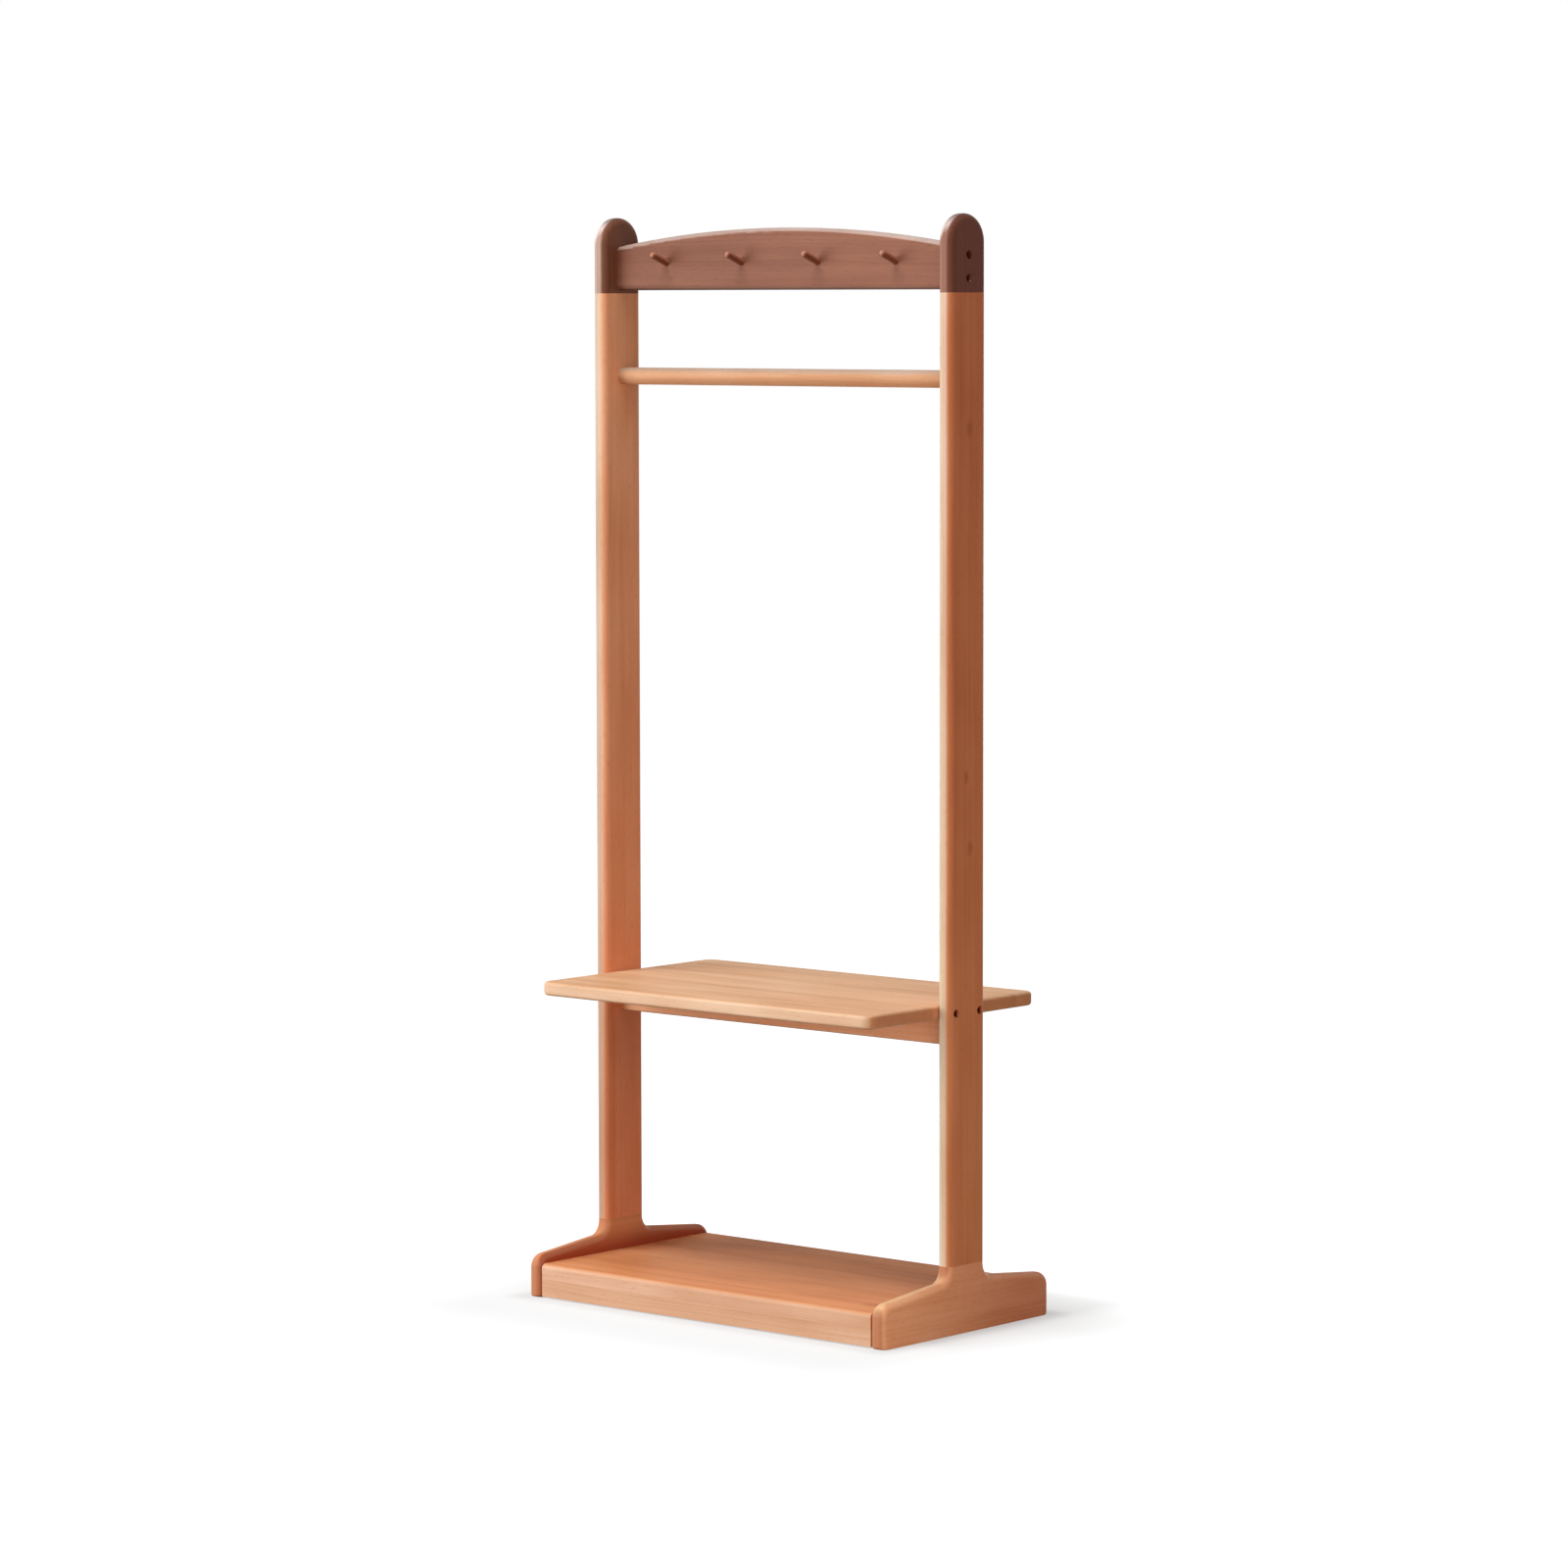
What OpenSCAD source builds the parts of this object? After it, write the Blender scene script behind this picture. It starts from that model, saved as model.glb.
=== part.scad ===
// Children's clothes rack: two inverted-T side frames joined by a pegged top rail,
// a hanging bar, a shelf with its rail, and a low base platform between the feet.
// Millimetres, +Z up. The origin is on the floor, at the middle of the footprint.
// The front of the rack faces -Y and its width runs along X.

/* [Overall] */
// Width over the outer faces of the two side frames
rack_w = 540; // [480:5:700]
// Depth of the feet from toe to heel
rack_d = 300; // [260:5:380]
// Height from the floor to the top of the end caps
rack_h = 1260; // [1150:1:1450]

/* [Side frames] */
// Thickness of the boards of the side frames
side_t = 20; // [18:1:26]
// Width of each post, front to rear
post_w = 64; // [56:1:76]
// Roundover on the long edges of the side frames
edge_r = 8; // [3:0.5:8.5]
// Height of the glue joint between the foot and the post
foot_h = 78; // [77:1:90]
// Height of the foot at its toe and heel
foot_end_h = 50.5; // [44:0.5:51.5]
// Rise of the foot's top edge from its end to the post
foot_rise = 9; // [4:1:11]
// Radius of the upper corner at toe and heel
foot_end_r = 16; // [10:1:20]
// Radius of the lower corner at toe and heel
foot_toe_r = 3; // [1:0.5:6]
// Concave radius where the foot sweeps up into the post
foot_fillet_r = 16; // [8:1:17]

/* [End caps] */
// Height of each dark cap from its joint with the post
cap_h = 88; // [84:1:110]

/* [Top rail] */
// Thickness of the top rail
rail_t = 20; // [18:1:24]
// Height of the top rail at mid span
rail_mid_h = 71; // [66:1:80]
// Height of the top rail where it meets the caps
rail_end_h = 51; // [49:0.5:58]
// Height of the rail's lower edge above the joint of cap and post
rail_lift = 3.5; // [0:0.5:8]
// Roundover on the long edges of the top rail
rail_edge_r = 6; // [2:0.5:8]

/* [Pegs] */
// Diameter of a coat peg
peg_d = 8; // [7:0.5:10]
// Length of a peg in front of the rail, along its axis
peg_out = 28; // [22:1:40]
// Length of a peg inside the rail, along its axis
peg_in = 13; // [10:0.5:14]
// Upward tilt of a peg
peg_tilt = 20; // [5:1:25]
// Distance of the outermost pegs from the ends of the rail
peg_margin = 77.5; // [60:0.5:110]
// Height of the peg holes above the rail's lower edge
peg_lift = 32; // [26:1:36]

/* [Hanging bar] */
// Diameter of the hanging bar
bar_d = 20; // [18:1:28]
// Drop of the middle of the bar below the joint of cap and post
bar_drop = 96.5; // [60:0.5:200]
// Depth of the blind sockets in the posts
bar_socket = 12; // [8:0.5:13]

/* [Shelf] */
// Height of the top of the shelf above the floor
shelf_z = 373; // [300:1:600]
// Thickness of the shelf board
shelf_t = 16; // [16:0.5:22]
// Depth of the shelf, front to rear
shelf_d = 300; // [240:5:360]
// Corner radius of the shelf, seen from above
shelf_corner_r = 14; // [8:1:30]
// Roundover on the edges of the shelf
shelf_edge_r = 4; // [2:0.5:6]
// Height of the rail under the shelf
shelf_rail_h = 31; // [30:1:50]
// Thickness of the rail under the shelf
shelf_rail_t = 18; // [16:1:22]
// Roundover on the lower edges of the rail under the shelf
shelf_rail_r = 3; // [1:0.5:5]

/* [Base] */
// Height of the top of the base platform
base_z = 40; // [36:1:42]
// Thickness of the base board
base_t = 18; // [16:0.5:20]
// Roundover on the front and rear edges of the base board
base_r = 6; // [3:0.5:8]
// Setback of the base platform from the ends of the feet
base_setback = 2; // [1:0.5:10]
// Thickness of the front and rear aprons
apron_t = 18; // [15:1:22]
// Clearance between the aprons and the floor
apron_gap = 1.5; // [0.5:0.5:3]
// Width of the battens that fix the base board to the feet
batten_w = 18; // [16:1:24]
// Height of those battens
batten_h = 16; // [12:1:17]

/* [Bolts] */
// Diameter of the connecting bolts
bolt_d = 6; // [5:0.5:6]
// Length of a bolt under its head
bolt_len = 50; // [46:1:60]
// Diameter of a bolt head
bolt_head_d = 9; // [8.5:0.5:10]
// Height of a bolt head
bolt_head_h = 5; // [4:0.5:6]
// Depth of a bolt head below the outer face of the side frame
bolt_recess = 3; // [1:0.5:4]
// Size of the hexagon socket across its flats
bolt_hex = 5; // [4:0.5:5]
// Height of the lower rail bolt above the rail's lower edge
rail_bolt_lift = 12.5; // [10:0.5:14]
// Spacing of the two rail bolts
rail_bolt_pitch = 26; // [22:1:30]
// Spacing of the two shelf bolts in a post
shelf_bolt_pitch = 42; // [38:1:44]
// Diameter of the barrel nuts
nut_d = 10; // [9.5:0.5:10]
// Length of the barrel nuts in the top rail
rail_nut_len = 12; // [10:0.5:14]
// Length of the barrel nuts in the shelf
shelf_nut_len = 10; // [9:0.5:11]
// Length of bolt that stands out past its barrel nut
bolt_past = 4; // [2:0.5:8]

/* [Dowels and screws] */
// Diameter of the wooden dowels
dowel_d = 8; // [6:0.5:8]
// Length of the dowels between the frame boards
frame_dowel_len = 40; // [30:1:44]
// Spacing of the two dowels in each joint of a post
frame_dowel_pitch = 32; // [28:1:34]
// Length of the dowels at the ends of the aprons and the shelf rail
cross_dowel_len = 30; // [26:1:36]
// Depth of those dowels in the side frame
cross_dowel_in = 12; // [9:0.5:12]
// Diameter of the wood screws
screw_d = 4; // [3.5:0.5:4.5]
// Head diameter of the wood screws
screw_head_d = 8; // [7.5:0.5:8.5]
// Height of the countersunk head of a wood screw
screw_head_h = 2.5; // [2:0.5:3]
// Length of the screws through the battens
batten_screw_len = 28; // [26:1:29]
// Length of the screws through the shelf rail
shelf_screw_len = 30; // [28:1:32]
// Depth of those screws in the shelf board
shelf_screw_in = 10; // [8:0.5:12]
// Distance of a shelf rail screw from mid span
shelf_screw_x = 150; // [80:5:160]

/* [Fits] */
// Radial clearance of dowels, pegs and the bar in their bores
wood_fit = 0.1; // [0.05:0.05:0.3]
// Radial clearance of bolts, nuts and screws in their bores
metal_fit = 0.2; // [0.1:0.05:0.4]
// Free depth past the end of anything in a blind bore
blind_fit = 1; // [0.5:0.5:1.5]

/* [Hidden] */
$fn = 64;

// Sides of the rack, as the sign of X
LEFT = -1;
RIGHT = 1;

// Steps of an arc in the swept outline of a foot
ARC_STEPS = 10;
// Steps of the roundover along that outline
ROUND_STEPS = 8;
// Extra length of a cutter past the face that it opens
CUT = 1;

cherry = "#C98C63";
cherry_shade = "#B97A52";
walnut = "#7A5143";
birch = "#DDBE94";
black_steel = "#2E2B2A";
zinc = "#A9A9A6";

// Faces of the side frames
outer_x = rack_w / 2;
inner_x = outer_x - side_t;
span = 2 * inner_x;
half_d = rack_d / 2;
half_post = post_w / 2;

// Joint of cap and post, middle of the cap's round head, and axis of the bar
cap_z = rack_h - cap_h;
cap_arc_z = rack_h - half_post;
bar_z = cap_z - bar_drop;

// Lines of the top rail
rail_z = cap_z + rail_lift;
arch_rise = rail_mid_h - rail_end_h;
arch_r = span * span / (8 * arch_rise) + arch_rise / 2;
arch_axis_z = rail_z + rail_mid_h - arch_r;
rail_bolt_zs = [rail_z + rail_bolt_lift, rail_z + rail_bolt_lift + rail_bolt_pitch];
peg_z = rail_z + peg_lift;
PEGS = 4;
peg_pitch = (span - 2 * peg_margin) / (PEGS - 1);

// Lines of the shelf
shelf_under_z = shelf_z - shelf_t;
shelf_mid_z = shelf_z - shelf_t / 2;
shelf_rail_z = shelf_under_z - shelf_rail_h;
shelf_screw_z = shelf_under_z + shelf_screw_in - shelf_screw_len;
// Heights of the two dowels in the shelf rail, as shares of its height
SHELF_RAIL_DOWELS = [0.25, 0.75];

// Lines of the base
base_under_z = base_z - base_t;
base_half_d = half_d - base_setback;
apron_h = base_under_z - apron_gap;
apron_y = base_half_d - apron_t / 2;
batten_z = base_under_z - batten_h;
batten_len = 2 * (base_half_d - apron_t);
batten_x = inner_x - batten_w / 2;

// Bolts and barrel nuts
bolt_seat_x = outer_x - bolt_recess - bolt_head_h;
bolt_tip_x = bolt_seat_x - bolt_len;
nut_x = bolt_tip_x + bolt_past + nut_d / 2;

// Places of the screws along a batten, as shares of its length
BATTEN_SIDE_SCREWS = [-0.3, 0.3];
BATTEN_TOP_SCREWS = [-0.4, 0.4];

// Draws the right-hand piece, or its mirror image on the left
module on_side(side) {
    if (side == RIGHT) children();
    else mirror([1, 0, 0]) children();
}

// Flat rectangle with round corners
module round_rect(w, h, r) {
    square([w - 2 * r, h], center = true);
    square([w, h - 2 * r], center = true);
    for (x = [-1, 1], y = [-1, 1])
        translate([x * (w / 2 - r), y * (h / 2 - r)]) circle(r = r);
}

// Lays a flat section in the YZ plane and runs it along X for a length
module along_x(len) {
    translate([-len / 2, 0, 0])
        rotate([90, 0, 90]) linear_extrude(len) children();
}

// Flat section with its two upper corners round and its base on the axis
module topped_rect(w, h, r) {
    translate([-w / 2, 0]) square([w, h - r]);
    translate([-(w / 2 - r), 0]) square([w - 2 * r, h]);
    for (x = [-1, 1]) translate([x * (w / 2 - r), h - r]) circle(r = r);
}

// Round bore or pin along X from one place to another
module rod_x(r, x0, x1) {
    translate([x0, 0, 0]) rotate([0, 90, 0]) cylinder(r = r, h = x1 - x0);
}

// Countersunk wood screw, its head at the origin and its point along +Z
module wood_screw(len) {
    point_h = screw_d;
    tip_d = screw_d / 4;
    socket_d = screw_d * 0.7;
    socket_h = screw_head_h / 2;
    difference() {
        union() {
            cylinder(d1 = screw_head_d, d2 = screw_d, h = screw_head_h);
            cylinder(d = screw_d, h = len - point_h);
            translate([0, 0, len - point_h]) cylinder(d1 = screw_d, d2 = tip_d, h = point_h);
        }
        translate([0, 0, -CUT]) cylinder(d = socket_d, h = socket_h + CUT, $fn = 4);
    }
}

// Bore that a wood screw fits, with its countersink
module wood_screw_bore(len) {
    translate([0, 0, -CUT]) cylinder(d = screw_head_d + 2 * metal_fit, h = CUT);
    cylinder(d1 = screw_head_d + 2 * metal_fit, d2 = screw_d + 2 * metal_fit, h = screw_head_h);
    cylinder(d = screw_d + 2 * metal_fit, h = len + blind_fit);
}

// Birch dowel with its ends eased, along Z, centred
module dowel(len) {
    ease = dowel_d / 8;
    cylinder(d = dowel_d, h = len - 2 * ease, center = true);
    for (end = [0, 1]) mirror([0, 0, end])
        translate([0, 0, len / 2 - ease]) cylinder(d1 = dowel_d, d2 = dowel_d - 2 * ease, h = ease);
}

// Bore of a dowel through both boards of a joint, centred
module dowel_bore(len) {
    cylinder(d = dowel_d + 2 * wood_fit, h = len + 2 * blind_fit, center = true);
}

// The two dowel places in a joint of the right-hand post, at a height
module frame_dowel_places(z) {
    for (y = [-1, 1])
        translate([outer_x - side_t / 2, y * frame_dowel_pitch / 2, z]) children();
}

// A dowel place at the end of a cross piece, at the right-hand side, along X
module cross_dowel_place(y, z) {
    translate([inner_x + cross_dowel_in - cross_dowel_len / 2, y, z]) rotate([0, 90, 0]) children();
}

// The two dowel places at the right-hand end of the shelf rail
module shelf_rail_dowel_places() {
    for (share = SHELF_RAIL_DOWELS)
        cross_dowel_place(0, shelf_rail_z + share * shelf_rail_h) children();
}

// The dowel places at the right-hand ends of the two aprons
module apron_dowel_places() {
    for (y = [-1, 1])
        cross_dowel_place(y * apron_y, apron_gap + apron_h / 2) children();
}

// The places of the rail bolts and of the shelf bolts, on the axis of each bolt
module rail_bolt_places() {
    for (z = rail_bolt_zs) translate([0, 0, z]) children();
}

module shelf_bolt_places() {
    for (y = [-1, 1]) translate([0, y * shelf_bolt_pitch / 2, shelf_mid_z]) children();
}

// Socket-head bolt at the right-hand side, along X
module bolt() {
    difference() {
        union() {
            rod_x(bolt_head_d / 2, bolt_seat_x, bolt_seat_x + bolt_head_h);
            rod_x(bolt_d / 2, bolt_tip_x, bolt_seat_x);
        }
        translate([bolt_seat_x + bolt_head_h / 2, 0, 0]) rotate([0, 90, 0])
            cylinder(d = bolt_hex / cos(30), h = bolt_head_h, $fn = 6);
    }
}

// Stepped bore that a bolt needs through the side frame and into the cross piece
module bolt_bore() {
    rod_x(bolt_head_d / 2 + metal_fit, bolt_seat_x, outer_x + CUT);
    rod_x(bolt_d / 2 + metal_fit, bolt_tip_x - blind_fit, outer_x);
}

// Barrel nut along Z, centred, with its cross hole along X
module barrel_nut(len) {
    difference() {
        cylinder(d = nut_d, h = len, center = true);
        rod_x(bolt_d / 2 + metal_fit / 2, -nut_d, nut_d);
    }
}

// Outline of a foot as points [y, z], drawn in by an inset except along the floor
function arc(cy, cz, r, from, to) = [
    for (i = [0 : ARC_STEPS]) let (a = from + (to - from) * i / ARC_STEPS)
        [cy + r * cos(a), cz + r * sin(a)]
];
foot_slope = atan(foot_rise / (half_d - foot_end_r - half_post - foot_fillet_r));
foot_corner = [half_d - foot_end_r, foot_end_h - foot_end_r];
foot_fillet_y = half_post + foot_fillet_r;
foot_fillet_z = foot_corner[1] + (foot_end_r + foot_fillet_r) / cos(foot_slope)
    + (foot_corner[0] - foot_fillet_y) * tan(foot_slope);
function foot_side(inset) = concat(
    arc(half_d - inset - foot_toe_r, foot_toe_r, foot_toe_r, -90, 0),
    arc(foot_corner[0], foot_corner[1], foot_end_r - inset, 0, 90 - foot_slope),
    arc(foot_fillet_y, foot_fillet_z, foot_fillet_r + inset, 270 - foot_slope, 180),
    [[half_post - inset, foot_h]]
);
function foot_outline(inset) = let (side = foot_side(inset)) concat(
    side,
    [for (i = [len(side) - 1 : -1 : 0]) [-side[i][0], side[i][1]]]
);
// Places across the board's thickness, each with its inset: [x, inset]
foot_layers = let (turns = [for (i = [0 : ROUND_STEPS]) 90 * i / ROUND_STEPS]) concat(
    [for (a = turns) [inner_x + edge_r * (1 - cos(a)), edge_r * (1 - sin(a))]],
    [for (i = [ROUND_STEPS : -1 : 0]) let (a = turns[i])
        [outer_x - edge_r * (1 - cos(a)), edge_r * (1 - sin(a))]]
);
foot_rings = [for (layer = foot_layers) foot_outline(layer[1])];
foot_points = [
    for (k = [0 : len(foot_layers) - 1]) for (p = foot_rings[k]) [foot_layers[k][0], p[0], p[1]]
];
foot_count = len(foot_rings[0]);
// The board's two flat faces, each in level strips from its front outline to its rear one
foot_strips = [
    for (i = [0 : foot_count / 2 - 2]) [i, i + 1, foot_count - 2 - i, foot_count - 1 - i]
];
foot_last = (len(foot_layers) - 1) * foot_count;
foot_faces = concat(
    foot_strips,
    [for (strip = foot_strips) [for (i = [3 : -1 : 0]) foot_last + strip[i]]],
    [for (k = [0 : len(foot_layers) - 2], i = [0 : foot_count - 1])
        let (a = k * foot_count + i, b = k * foot_count + (i + 1) % foot_count)
            [a, a + foot_count, b + foot_count, b]]
);

module foot(side) {
    color(cherry) on_side(side) difference() {
        polyhedron(points = foot_points, faces = foot_faces);
        frame_dowel_places(foot_h) dowel_bore(frame_dowel_len);
        apron_dowel_places() dowel_bore(cross_dowel_len);
        batten_side_screw_places() wood_screw_bore(batten_screw_len);
    }
}

module post(side) {
    color(cherry) on_side(side) difference() {
        translate([outer_x - side_t / 2, 0, foot_h])
            linear_extrude(cap_z - foot_h) round_rect(side_t, post_w, edge_r);
        frame_dowel_places(foot_h) dowel_bore(frame_dowel_len);
        frame_dowel_places(cap_z) dowel_bore(frame_dowel_len);
        shelf_rail_dowel_places() dowel_bore(cross_dowel_len);
        shelf_bolt_places() bolt_bore();
        translate([0, 0, bar_z])
            rod_x(bar_d / 2 + wood_fit, inner_x - CUT, inner_x + bar_socket + blind_fit);
    }
}

// Straight foot of the cap with a half-round head, all in one rounded section
module end_cap(side) {
    color(walnut) on_side(side) difference() {
        translate([outer_x - side_t / 2, 0, 0]) union() {
            translate([0, 0, cap_z])
                linear_extrude(cap_arc_z - cap_z) round_rect(side_t, post_w, edge_r);
            translate([0, 0, cap_arc_z]) rotate([0, 90, 0]) rotate_extrude()
                intersection() {
                    round_rect(post_w, side_t, edge_r);
                    translate([0, -side_t / 2]) square([half_post, side_t]);
                }
        }
        frame_dowel_places(cap_z) dowel_bore(frame_dowel_len);
        rail_bolt_places() bolt_bore();
    }
}

// Board with an arched top and round edges, held between the caps
module top_rail() {
    color(walnut) difference() {
        intersection() {
            translate([0, 0, arch_axis_z]) rotate([90, 0, 0]) rotate_extrude($fn = 720)
                translate([arch_r - rail_mid_h, 0]) round_rect(2 * rail_mid_h, rail_t, rail_edge_r);
            along_x(span) translate([0, rail_z + rail_mid_h])
                round_rect(rail_t, 2 * rail_mid_h, rail_edge_r);
        }
        for (side = [LEFT, RIGHT]) on_side(side) rail_bolt_places() {
            bolt_bore();
            translate([nut_x, 0, 0]) rotate([-90, 0, 0]) translate([0, 0, -rail_nut_len / 2])
                cylinder(r = nut_d / 2 + metal_fit, h = rail_t + rail_nut_len);
        }
        for (number = [1 : PEGS]) peg_place(number)
            translate([0, 0, -peg_in - blind_fit])
                cylinder(d = peg_d + 2 * wood_fit, h = peg_in + peg_out);
    }
}

// Where a peg leaves the front face of the rail, with the peg's axis along Z
module peg_place(number) {
    translate([(number - (PEGS + 1) / 2) * peg_pitch, -rail_t / 2, peg_z])
        rotate([90 - peg_tilt, 0, 0]) children();
}

// Turned peg with a domed end
module peg(number) {
    color(walnut) peg_place(number) {
        translate([0, 0, -peg_in]) cylinder(d = peg_d, h = peg_in + peg_out - peg_d / 2);
        translate([0, 0, peg_out - peg_d / 2]) sphere(d = peg_d);
    }
}

module hanging_bar() {
    color(cherry) translate([0, 0, bar_z])
        rod_x(bar_d / 2, -inner_x - bar_socket, inner_x + bar_socket);
}

// Board with round corners in plan and a roundover all along its edge
module shelf() {
    corner_x = inner_x - shelf_corner_r;
    corner_y = shelf_d / 2 - shelf_corner_r;
    color(cherry) difference() {
        translate([0, 0, shelf_mid_z]) union() {
            along_x(2 * corner_x) round_rect(shelf_d, shelf_t, shelf_edge_r);
            rotate([0, 0, 90]) along_x(2 * corner_y) round_rect(span, shelf_t, shelf_edge_r);
            for (x = [-1, 1], y = [-1, 1]) translate([x * corner_x, y * corner_y, 0])
                rotate_extrude() intersection() {
                    round_rect(2 * shelf_corner_r, shelf_t, shelf_edge_r);
                    translate([0, -shelf_t / 2]) square([shelf_corner_r, shelf_t]);
                }
        }
        for (side = [LEFT, RIGHT]) on_side(side) shelf_bolt_places() {
            bolt_bore();
            translate([nut_x, 0, -shelf_t])
                cylinder(r = nut_d / 2 + metal_fit, h = shelf_t + shelf_nut_len / 2);
        }
        shelf_screw_places() wood_screw_bore(shelf_screw_len);
    }
}

// The screws go up through the shelf rail, their heads deep in counterbores
module shelf_screw_places() {
    for (x = [-1, 1]) translate([x * shelf_screw_x, 0, shelf_screw_z]) children();
}

module shelf_rail() {
    color(cherry_shade) difference() {
        along_x(span) translate([0, shelf_under_z]) mirror([0, 1])
            topped_rect(shelf_rail_t, shelf_rail_h, shelf_rail_r);
        for (side = [LEFT, RIGHT]) on_side(side)
            shelf_rail_dowel_places() dowel_bore(cross_dowel_len);
        shelf_screw_places() {
            wood_screw_bore(shelf_screw_len);
            translate([0, 0, -shelf_rail_h])
                cylinder(d = screw_head_d + 2 * metal_fit, h = shelf_rail_h);
        }
    }
}

module base_board() {
    color(cherry) difference() {
        along_x(span) translate([0, base_under_z]) topped_rect(2 * base_half_d, base_t, base_r);
        for (side = [LEFT, RIGHT]) on_side(side)
            batten_top_screw_places() wood_screw_bore(batten_screw_len);
    }
}

// Apron under the front or the rear edge of the base board: end is -1 or 1
module apron(end) {
    color(cherry) difference() {
        along_x(span) translate([end * apron_y, apron_gap + apron_h / 2])
            square([apron_t, apron_h], center = true);
        for (side = [LEFT, RIGHT]) on_side(side)
            apron_dowel_places() dowel_bore(cross_dowel_len);
    }
}

// Batten under the base board, against the inner face of a foot
module batten(side) {
    color(birch) on_side(side) difference() {
        translate([batten_x, 0, batten_z + batten_h / 2])
            cube([batten_w, batten_len, batten_h], center = true);
        batten_side_screw_places() wood_screw_bore(batten_screw_len);
        batten_top_screw_places() wood_screw_bore(batten_screw_len);
    }
}

module batten_side_screw_places() {
    for (share = BATTEN_SIDE_SCREWS)
        translate([inner_x - batten_w, share * batten_len, batten_z + batten_h / 2])
            rotate([0, 90, 0]) children();
}

module batten_top_screw_places() {
    for (share = BATTEN_TOP_SCREWS)
        translate([batten_x, share * batten_len, batten_z]) children();
}

module foot_dowels(side) {
    color(birch) on_side(side) frame_dowel_places(foot_h) dowel(frame_dowel_len);
}

module cap_dowels(side) {
    color(birch) on_side(side) frame_dowel_places(cap_z) dowel(frame_dowel_len);
}

module shelf_rail_dowels(side) {
    color(birch) on_side(side) shelf_rail_dowel_places() dowel(cross_dowel_len);
}

module apron_dowels(side) {
    color(birch) on_side(side) apron_dowel_places() dowel(cross_dowel_len);
}

module rail_bolts(side) {
    color(black_steel) on_side(side) rail_bolt_places() bolt();
}

module rail_nuts(side) {
    color(zinc) on_side(side) rail_bolt_places()
        translate([nut_x, 0, 0]) rotate([90, 0, 0]) barrel_nut(rail_nut_len);
}

module shelf_bolts(side) {
    color(black_steel) on_side(side) shelf_bolt_places() bolt();
}

module shelf_nuts(side) {
    color(zinc) on_side(side) shelf_bolt_places()
        translate([nut_x, 0, 0]) barrel_nut(shelf_nut_len);
}

module shelf_rail_screws() {
    color(zinc) shelf_screw_places() wood_screw(shelf_screw_len);
}

module batten_screws(side) {
    color(zinc) on_side(side) {
        batten_side_screw_places() wood_screw(batten_screw_len);
        batten_top_screw_places() wood_screw(batten_screw_len);
    }
}

foot(LEFT);  // left_foot
foot(RIGHT);  // right_foot
post(LEFT);  // left_post
post(RIGHT);  // right_post
end_cap(LEFT);  // left_end_cap
end_cap(RIGHT);  // right_end_cap
top_rail();
peg(1);  // peg_1
peg(2);  // peg_2
peg(3);  // peg_3
peg(4);  // peg_4
hanging_bar();
shelf();
shelf_rail();
base_board();
apron(-1);  // front_apron
apron(1);  // rear_apron
batten(LEFT);  // left_batten
batten(RIGHT);  // right_batten
foot_dowels(LEFT);  // left_foot_dowels
foot_dowels(RIGHT);  // right_foot_dowels
cap_dowels(LEFT);  // left_cap_dowels
cap_dowels(RIGHT);  // right_cap_dowels
shelf_rail_dowels(LEFT);  // left_shelf_rail_dowels
shelf_rail_dowels(RIGHT);  // right_shelf_rail_dowels
apron_dowels(LEFT);  // left_apron_dowels
apron_dowels(RIGHT);  // right_apron_dowels
rail_bolts(LEFT);  // left_rail_bolts
rail_bolts(RIGHT);  // right_rail_bolts
rail_nuts(LEFT);  // left_rail_nuts
rail_nuts(RIGHT);  // right_rail_nuts
shelf_bolts(LEFT);  // left_shelf_bolts
shelf_bolts(RIGHT);  // right_shelf_bolts
shelf_nuts(LEFT);  // left_shelf_nuts
shelf_nuts(RIGHT);  // right_shelf_nuts
shelf_rail_screws();
batten_screws(LEFT);  // left_batten_screws
batten_screws(RIGHT);  // right_batten_screws
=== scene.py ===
"""Looks of a children's clothes rack: lacquered cherry side frames, shelf, bar and base,
with a walnut top rail, caps and pegs. Metres, +Z up, the front faces -Y."""

import math
from types import SimpleNamespace

import bmesh
import bpy
from mathutils import Matrix, Vector


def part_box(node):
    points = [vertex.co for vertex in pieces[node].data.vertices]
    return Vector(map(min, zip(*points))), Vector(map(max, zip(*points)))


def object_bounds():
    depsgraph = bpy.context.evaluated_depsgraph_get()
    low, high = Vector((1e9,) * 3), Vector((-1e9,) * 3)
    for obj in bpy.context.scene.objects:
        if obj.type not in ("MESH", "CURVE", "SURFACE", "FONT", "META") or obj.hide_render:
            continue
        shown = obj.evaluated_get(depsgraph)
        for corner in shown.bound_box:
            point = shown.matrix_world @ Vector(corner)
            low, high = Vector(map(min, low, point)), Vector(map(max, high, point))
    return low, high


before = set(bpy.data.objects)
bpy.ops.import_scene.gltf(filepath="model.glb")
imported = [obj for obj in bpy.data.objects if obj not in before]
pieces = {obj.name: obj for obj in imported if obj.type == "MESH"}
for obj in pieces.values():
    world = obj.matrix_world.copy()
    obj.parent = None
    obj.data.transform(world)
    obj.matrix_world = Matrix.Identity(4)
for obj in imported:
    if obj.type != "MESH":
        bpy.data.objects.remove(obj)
cad_box = [list(corner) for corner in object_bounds()]


# FEET
# Two boards of cherry, sawn to an inverted T with a swept shoulder, their long edges
# rounded with a router cutter. Satin lacquer keeps the wood's own colour and leaves a
# soft, broad shine. Dowels join them to the posts and to the aprons.

MM = 1000.0  # millimetres in a metre, for patterns whose sizes are given in millimetres

CHERRY = {
    "dark": "#CE8E61",
    "plain": "#DEA275",
    "pale": "#E6B289",
    # the edge tone is what worn arrises, with their painted highlight, turn to
    "edge": "#E2C1A2",
    "end": "#C08059",
    "fleck": "#B57247",
}


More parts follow.
